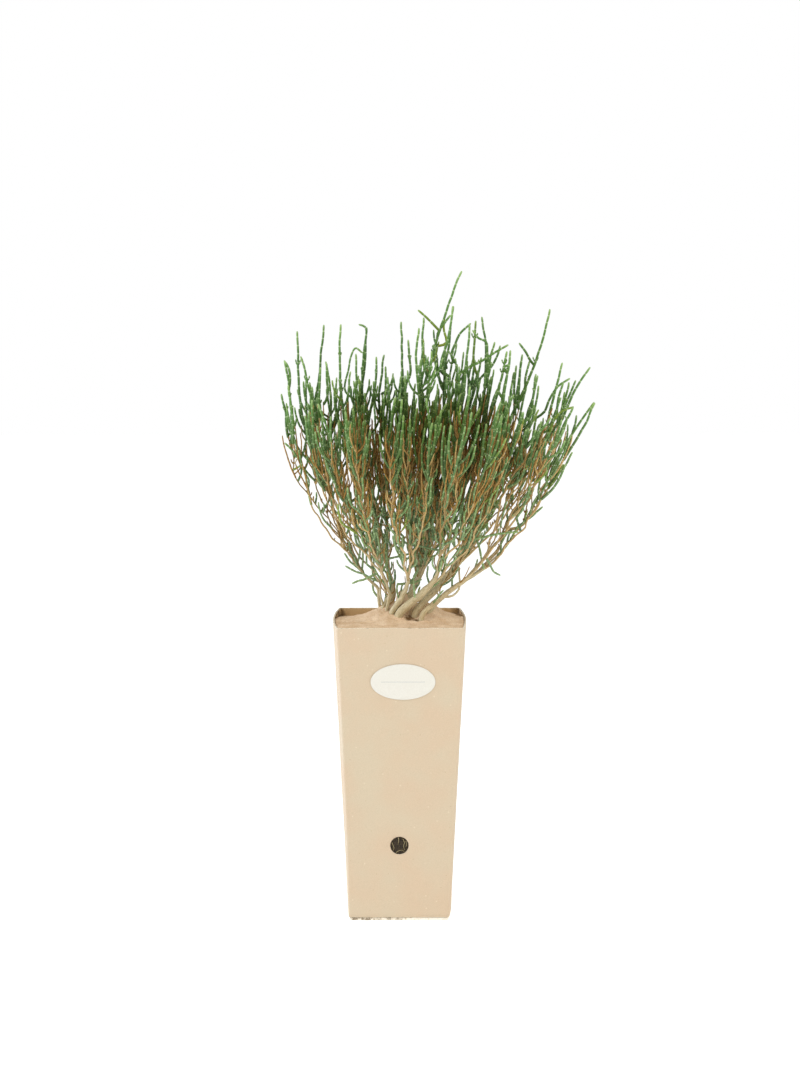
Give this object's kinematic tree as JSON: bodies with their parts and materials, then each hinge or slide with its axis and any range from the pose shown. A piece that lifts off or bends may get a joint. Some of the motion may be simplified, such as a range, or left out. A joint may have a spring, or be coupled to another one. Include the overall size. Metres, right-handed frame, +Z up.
{
  "type": "potted samphire plant",
  "caption": "Bushy samphire with upright jointed shoots, growing in sand in a tall tapered cardboard pot with an oval label.",
  "frame": {"origin": "middle of the pot's flat underside, at the surface that it stands on", "axes": "+Z up the pot and the stems, -Y out of the front panel that has the label"},
  "size_m": [0.3213, 0.2681, 0.658],
  "materials": {
    "pot_board": "recycled board, folded, with light and dark flecks",
    "base_board": "off-white board, with soil specks at its edge",
    "potting_mix": "damp dark crumbly mix with pale roots",
    "sand": "fine dry sand",
    "label_paper": "matt off-white paper, blank but for one ruled line",
    "plant": "matt jointed green shoots with a waxy bloom, on tan and grey bark"
  },
  "bodies": {
    "root": {"pot_sleeve": "pot_board", "base_board": "base_board", "root_ball": "potting_mix", "sand": "sand", "label": "label_paper", "stem_01": "plant", "stem_02": "plant", "stem_03": "plant", "stem_04": "plant", "stem_05": "plant", "stem_06": "plant", "stem_07": "plant", "stem_08": "plant", "stem_09": "plant", "stem_10": "plant", "stem_11": "plant", "stem_12": "plant"}
  },
  "joints": []
}
